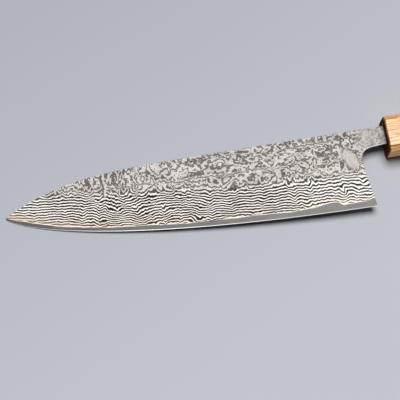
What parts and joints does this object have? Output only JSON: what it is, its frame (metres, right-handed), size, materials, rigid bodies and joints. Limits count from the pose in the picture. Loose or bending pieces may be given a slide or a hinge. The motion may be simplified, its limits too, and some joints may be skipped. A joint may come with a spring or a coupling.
{
  "type": "chef knife",
  "caption": "Chef knife with a curved layered-steel blade, a bright core along the cutting edge and an eight-sided light wooden handle on a hidden tang.",
  "frame": {"origin": "centre of the handle's underside facet, the face the knife lies on", "axes": "+X along the knife from the tip to the butt, +Y from the cutting edge to the spine, +Z out of the upper face with the knife lying on its side"},
  "size_m": [0.364, 0.0511, 0.0172],
  "materials": {
    "core_steel": "fine-ground core steel with a sharpened bright edge",
    "layered_steel": "etched layered steel, wavy light and dark lines over a mottled upper face",
    "handle_wood": "oiled open-grained oak, heat-darkened at the front end",
    "tang_resin": "dark cast resin"
  },
  "bodies": {
    "root": {"blade_core": "core_steel", "blade_cladding_left": "layered_steel", "blade_cladding_right": "layered_steel", "handle_body": "handle_wood", "tang_adhesive": "tang_resin"}
  },
  "joints": []
}
